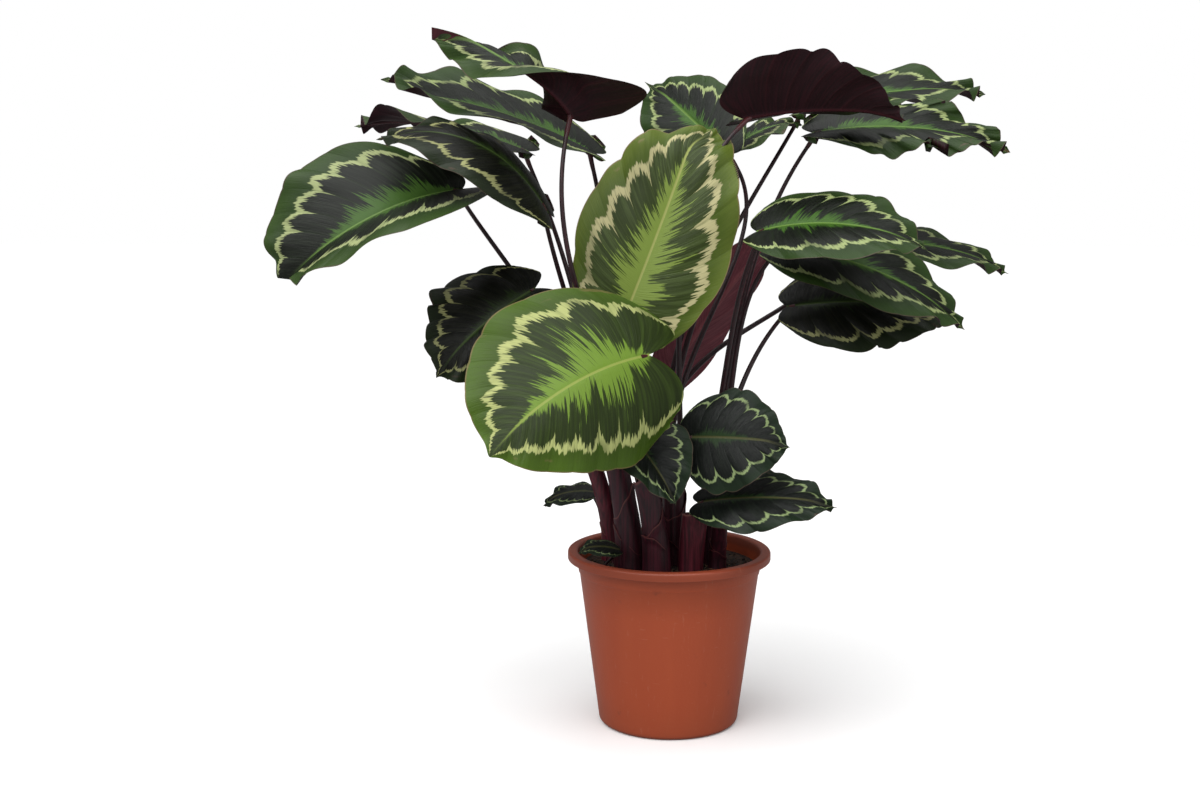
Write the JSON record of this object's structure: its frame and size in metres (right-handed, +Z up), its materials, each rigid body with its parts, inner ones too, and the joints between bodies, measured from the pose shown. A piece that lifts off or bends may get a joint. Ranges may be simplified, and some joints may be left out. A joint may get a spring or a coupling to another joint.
{
  "type": "potted calathea",
  "caption": "Potted calathea: broad feather-patterned leaves with maroon undersides on long dark stalks, in a tapered plastic nursery pot filled with soil.",
  "frame": {"origin": "centre of the pot's underside, on the surface that it stands on", "axes": "+Z up through the pot's axis; -Y is the front that the camera faces, and +X is the plant's right as seen from the front"},
  "size_m": [0.7391, 0.3993, 0.7156],
  "materials": {
    "pot": "satin injection-moulded terracotta-coloured plastic with faint scuffs",
    "soil": null,
    "sheath": "wine-red ribbed leaf sheath, satin",
    "stalk": "dark maroon leaf stalk, satin",
    "dark_leaf": "dark green leaf with a light feather along the midrib, a pale jagged band and a maroon underside, satin",
    "young_leaf": "younger, lighter green leaf with the same feather and band, satin"
  },
  "bodies": {
    "root": {"pot": "pot", "soil": "soil", "sheath_left": "sheath", "sheath_broad": "sheath", "sheath_front": "sheath", "sheath_middle": "sheath", "sheath_right": "sheath", "sheath_back": "sheath", "sheath_low_right": "sheath", "cut_stub": "sheath", "stalk_far_left": "stalk", "leaf_far_left": "dark_leaf", "stalk_left_arched": "stalk", "leaf_left_arched": "dark_leaf", "stalk_left_back": "stalk", "leaf_left_back": "dark_leaf", "stalk_left_upper": "stalk", "leaf_left_upper": "dark_leaf", "stalk_top_left_twisted": "stalk", "leaf_top_left_twisted": "dark_leaf", "stalk_centre_tall": "stalk", "leaf_centre_tall": "young_leaf", "stalk_front_round": "stalk", "leaf_front_round": "young_leaf", "stalk_left_dark": "stalk", "leaf_left_dark": "dark_leaf", "stalk_centre_back": "stalk", "leaf_centre_back": "dark_leaf", "stalk_top_right": "stalk", "leaf_top_right": "dark_leaf", "stalk_top_right_back": "stalk", "leaf_top_right_back": "dark_leaf", "stalk_right_ragged": "stalk", "leaf_right_ragged": "dark_leaf", "stalk_behind_top_right": "stalk", "leaf_behind_top_right": "dark_leaf", "stalk_right_front": "stalk", "leaf_right_front": "dark_leaf", "stalk_right_wavy": "stalk", "leaf_right_wavy": "dark_leaf", "stalk_right_lower": "stalk", "leaf_right_lower": "dark_leaf", "stalk_far_right": "stalk", "leaf_far_right": "dark_leaf", "stalk_upright_back": "stalk", "leaf_upright_back": "dark_leaf", "stalk_low_round": "stalk", "leaf_low_round": "dark_leaf", "stalk_low_folded": "stalk", "leaf_low_folded": "dark_leaf", "stalk_low_right": "stalk", "leaf_low_right": "dark_leaf", "stalk_low_left": "stalk", "leaf_low_left": "dark_leaf", "stalk_newest_small": "stalk", "leaf_newest_small": "dark_leaf"}
  },
  "joints": []
}
